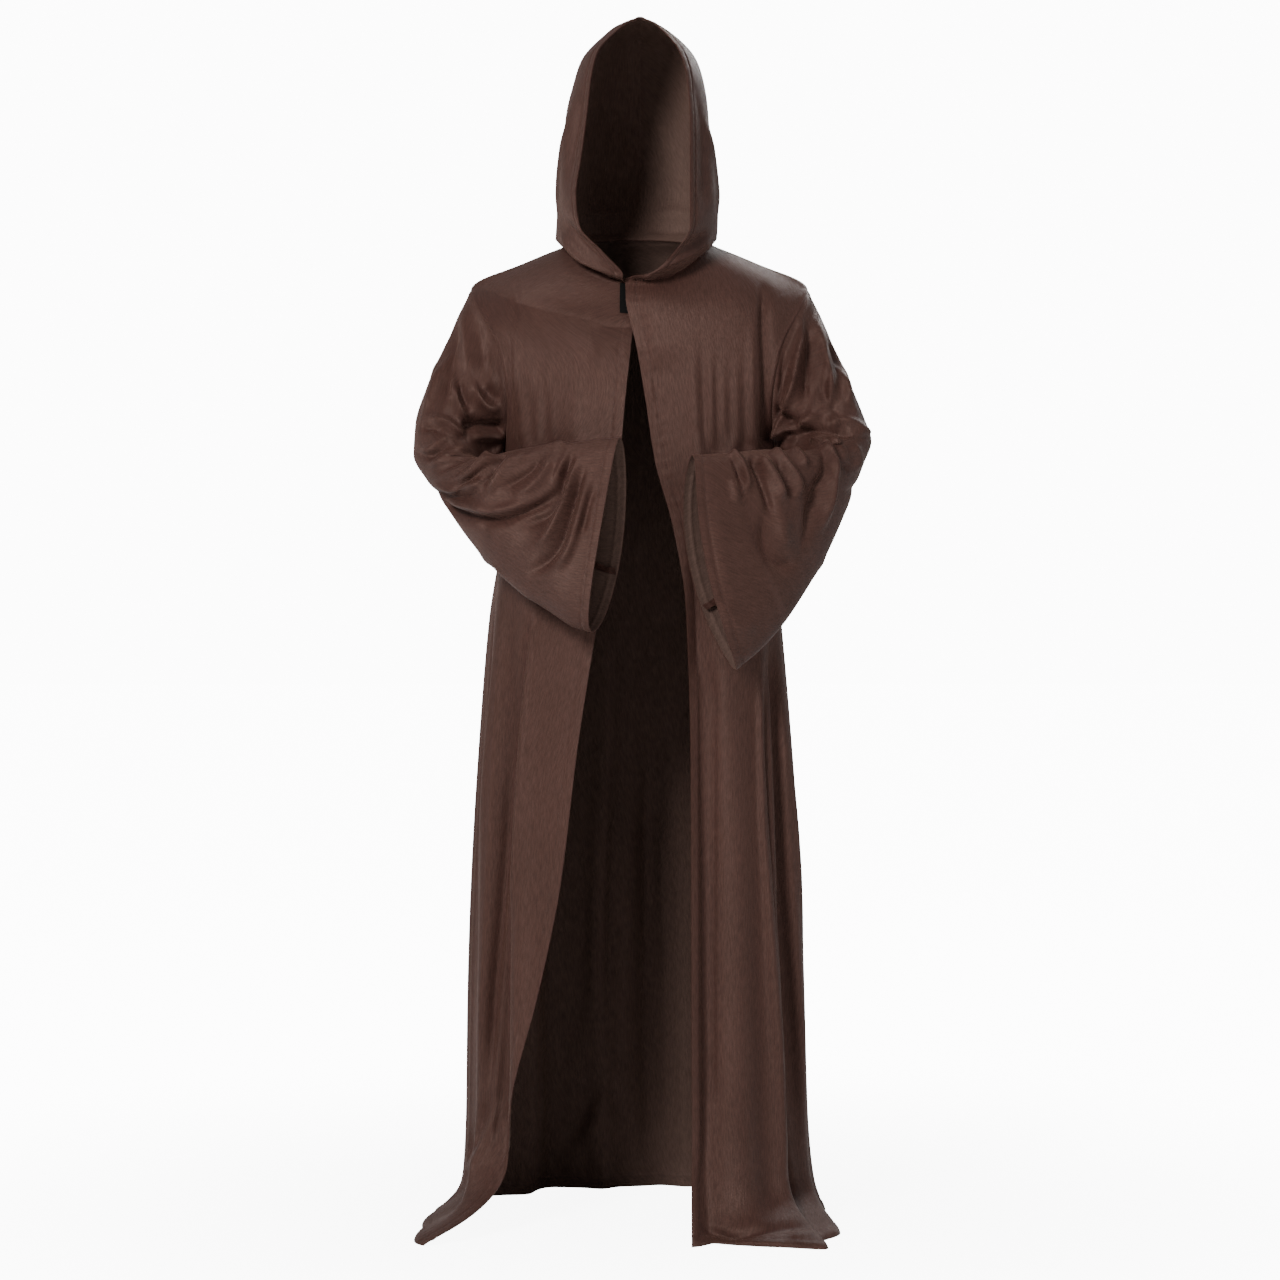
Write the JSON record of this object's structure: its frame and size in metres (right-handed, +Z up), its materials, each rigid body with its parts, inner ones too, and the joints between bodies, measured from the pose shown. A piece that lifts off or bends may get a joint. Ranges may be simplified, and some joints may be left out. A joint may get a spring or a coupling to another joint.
{
  "type": "hooded monk robe",
  "caption": "Floor-length hooded robe, open down the front, with wide bell sleeves, standing hollow in its worn form.",
  "frame": {"origin": "between the wearer's shoulders, at the level of the shoulder line, where the robe is carried", "axes": "+Z up, the front faces -Y, the wearer's left is +X"},
  "size_m": [0.6912, 0.5542, 1.8225],
  "materials": {
    "brown_knit": "satin-faced knit",
    "black_tape": "matt loop pile"
  },
  "bodies": {
    "root": {"front_right": "brown_knit", "front_left": "brown_knit", "back": "brown_knit", "sleeve_right": "brown_knit", "sleeve_left": "brown_knit", "hood_right": "brown_knit", "hood_left": "brown_knit", "fastener_loop_tape": "black_tape", "fastener_hook_tape": "black_tape"}
  },
  "joints": []
}
